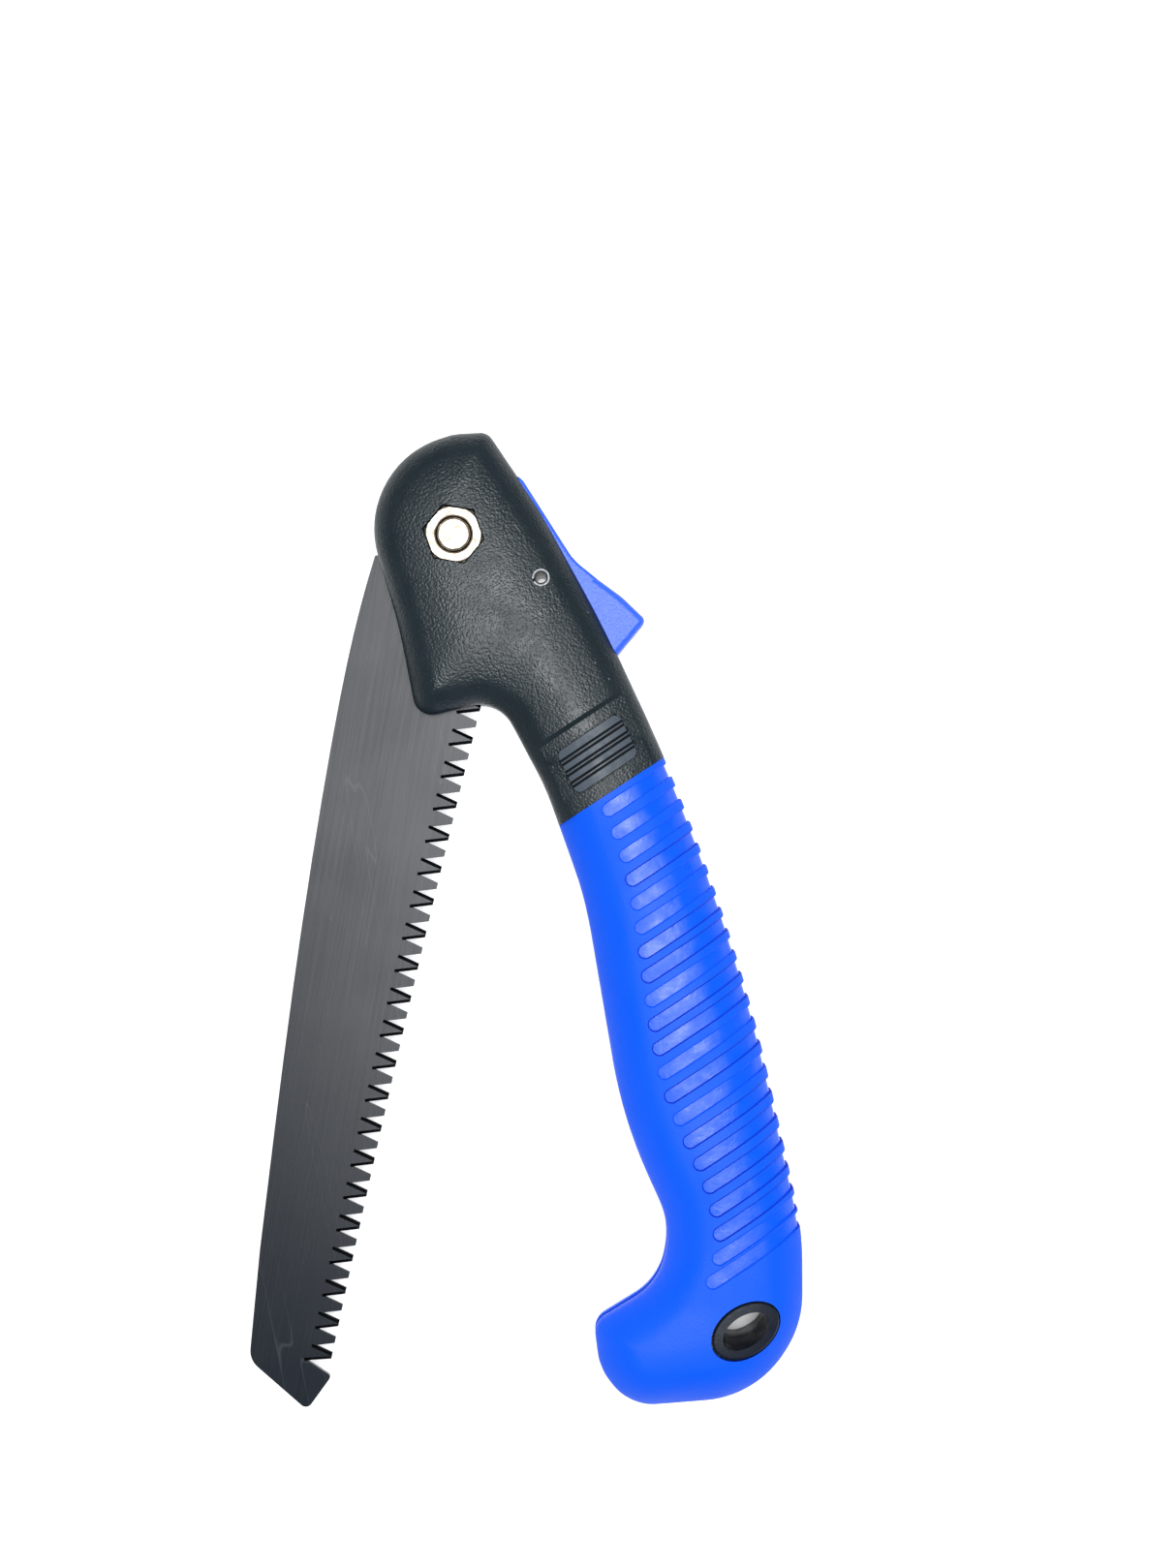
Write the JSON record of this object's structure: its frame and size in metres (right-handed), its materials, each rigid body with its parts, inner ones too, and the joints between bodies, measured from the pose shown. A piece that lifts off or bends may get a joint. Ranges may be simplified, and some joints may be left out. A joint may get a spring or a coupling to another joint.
{
  "type": "folding pruning saw",
  "caption": "Folding pruning saw with a rubber-sleeved hooked handle, a lever lock in the head and a straight coarse-toothed blade.",
  "frame": {"origin": "on the blade pivot's axis, in the plane of the handle's far face, on which the saw lies", "axes": "+Z through the thickness, with the nut side up; -Y down the handle towards the butt; +X towards the back of the handle"},
  "size_m": [0.1456, 0.2321, 0.024],
  "materials": {
    "black_nylon": "moulded pebble grain",
    "blue_rubber": "soft satin",
    "panel_nylon": "smooth satin",
    "eyelet_nylon": "matte",
    "zinc_plate": "bright zinc plated",
    "bolt_steel": "zinc plated",
    "bush_steel": "turned",
    "washer_nylon": "natural nylon",
    "blade_steel": "dark low-friction coating",
    "pawl_steel": "hardened",
    "lever_blue": "fine moulded grain",
    "pin_steel": "black oiled spring steel",
    "spring_steel": "drawn wire"
  },
  "bodies": {
    "handle": {"handle_core": "black_nylon", "grip_sleeve": "blue_rubber", "inlay_near": "panel_nylon", "inlay_far": "panel_nylon", "eyelet_near": "eyelet_nylon", "eyelet_far": "eyelet_nylon", "pivot_nut": "zinc_plate", "pivot_bolt": "bolt_steel", "bolt_washer": "bolt_steel", "spring_washer": "zinc_plate", "pivot_bush": "bush_steel", "thrust_washer_near": "washer_nylon", "thrust_washer_far": "washer_nylon", "lever_pin": "pin_steel", "lever_spring": "spring_steel"},
    "blade": {"blade": "blade_steel"},
    "lever": {"release_lever": "lever_blue", "thumb_pad": "lever_blue", "lock_pawl": "pawl_steel"}
  },
  "joints": [
    {"name": "blade_fold", "type": "hinge", "parent": "handle", "child": "blade", "pos_m": [0, 0, 0.012], "axis": [0, 0, 1], "range_deg": [-150, 26]},
    {"name": "lever_press", "type": "hinge", "parent": "handle", "child": "lever", "pos_m": [0.0154, -0.0162, 0.012], "axis": [0, 0, 1], "range_deg": [-5, 0], "stiffness_Nm_per_rad": 0.6, "springref_deg": 20.05, "deforming": ["lever_spring"]}
  ]
}
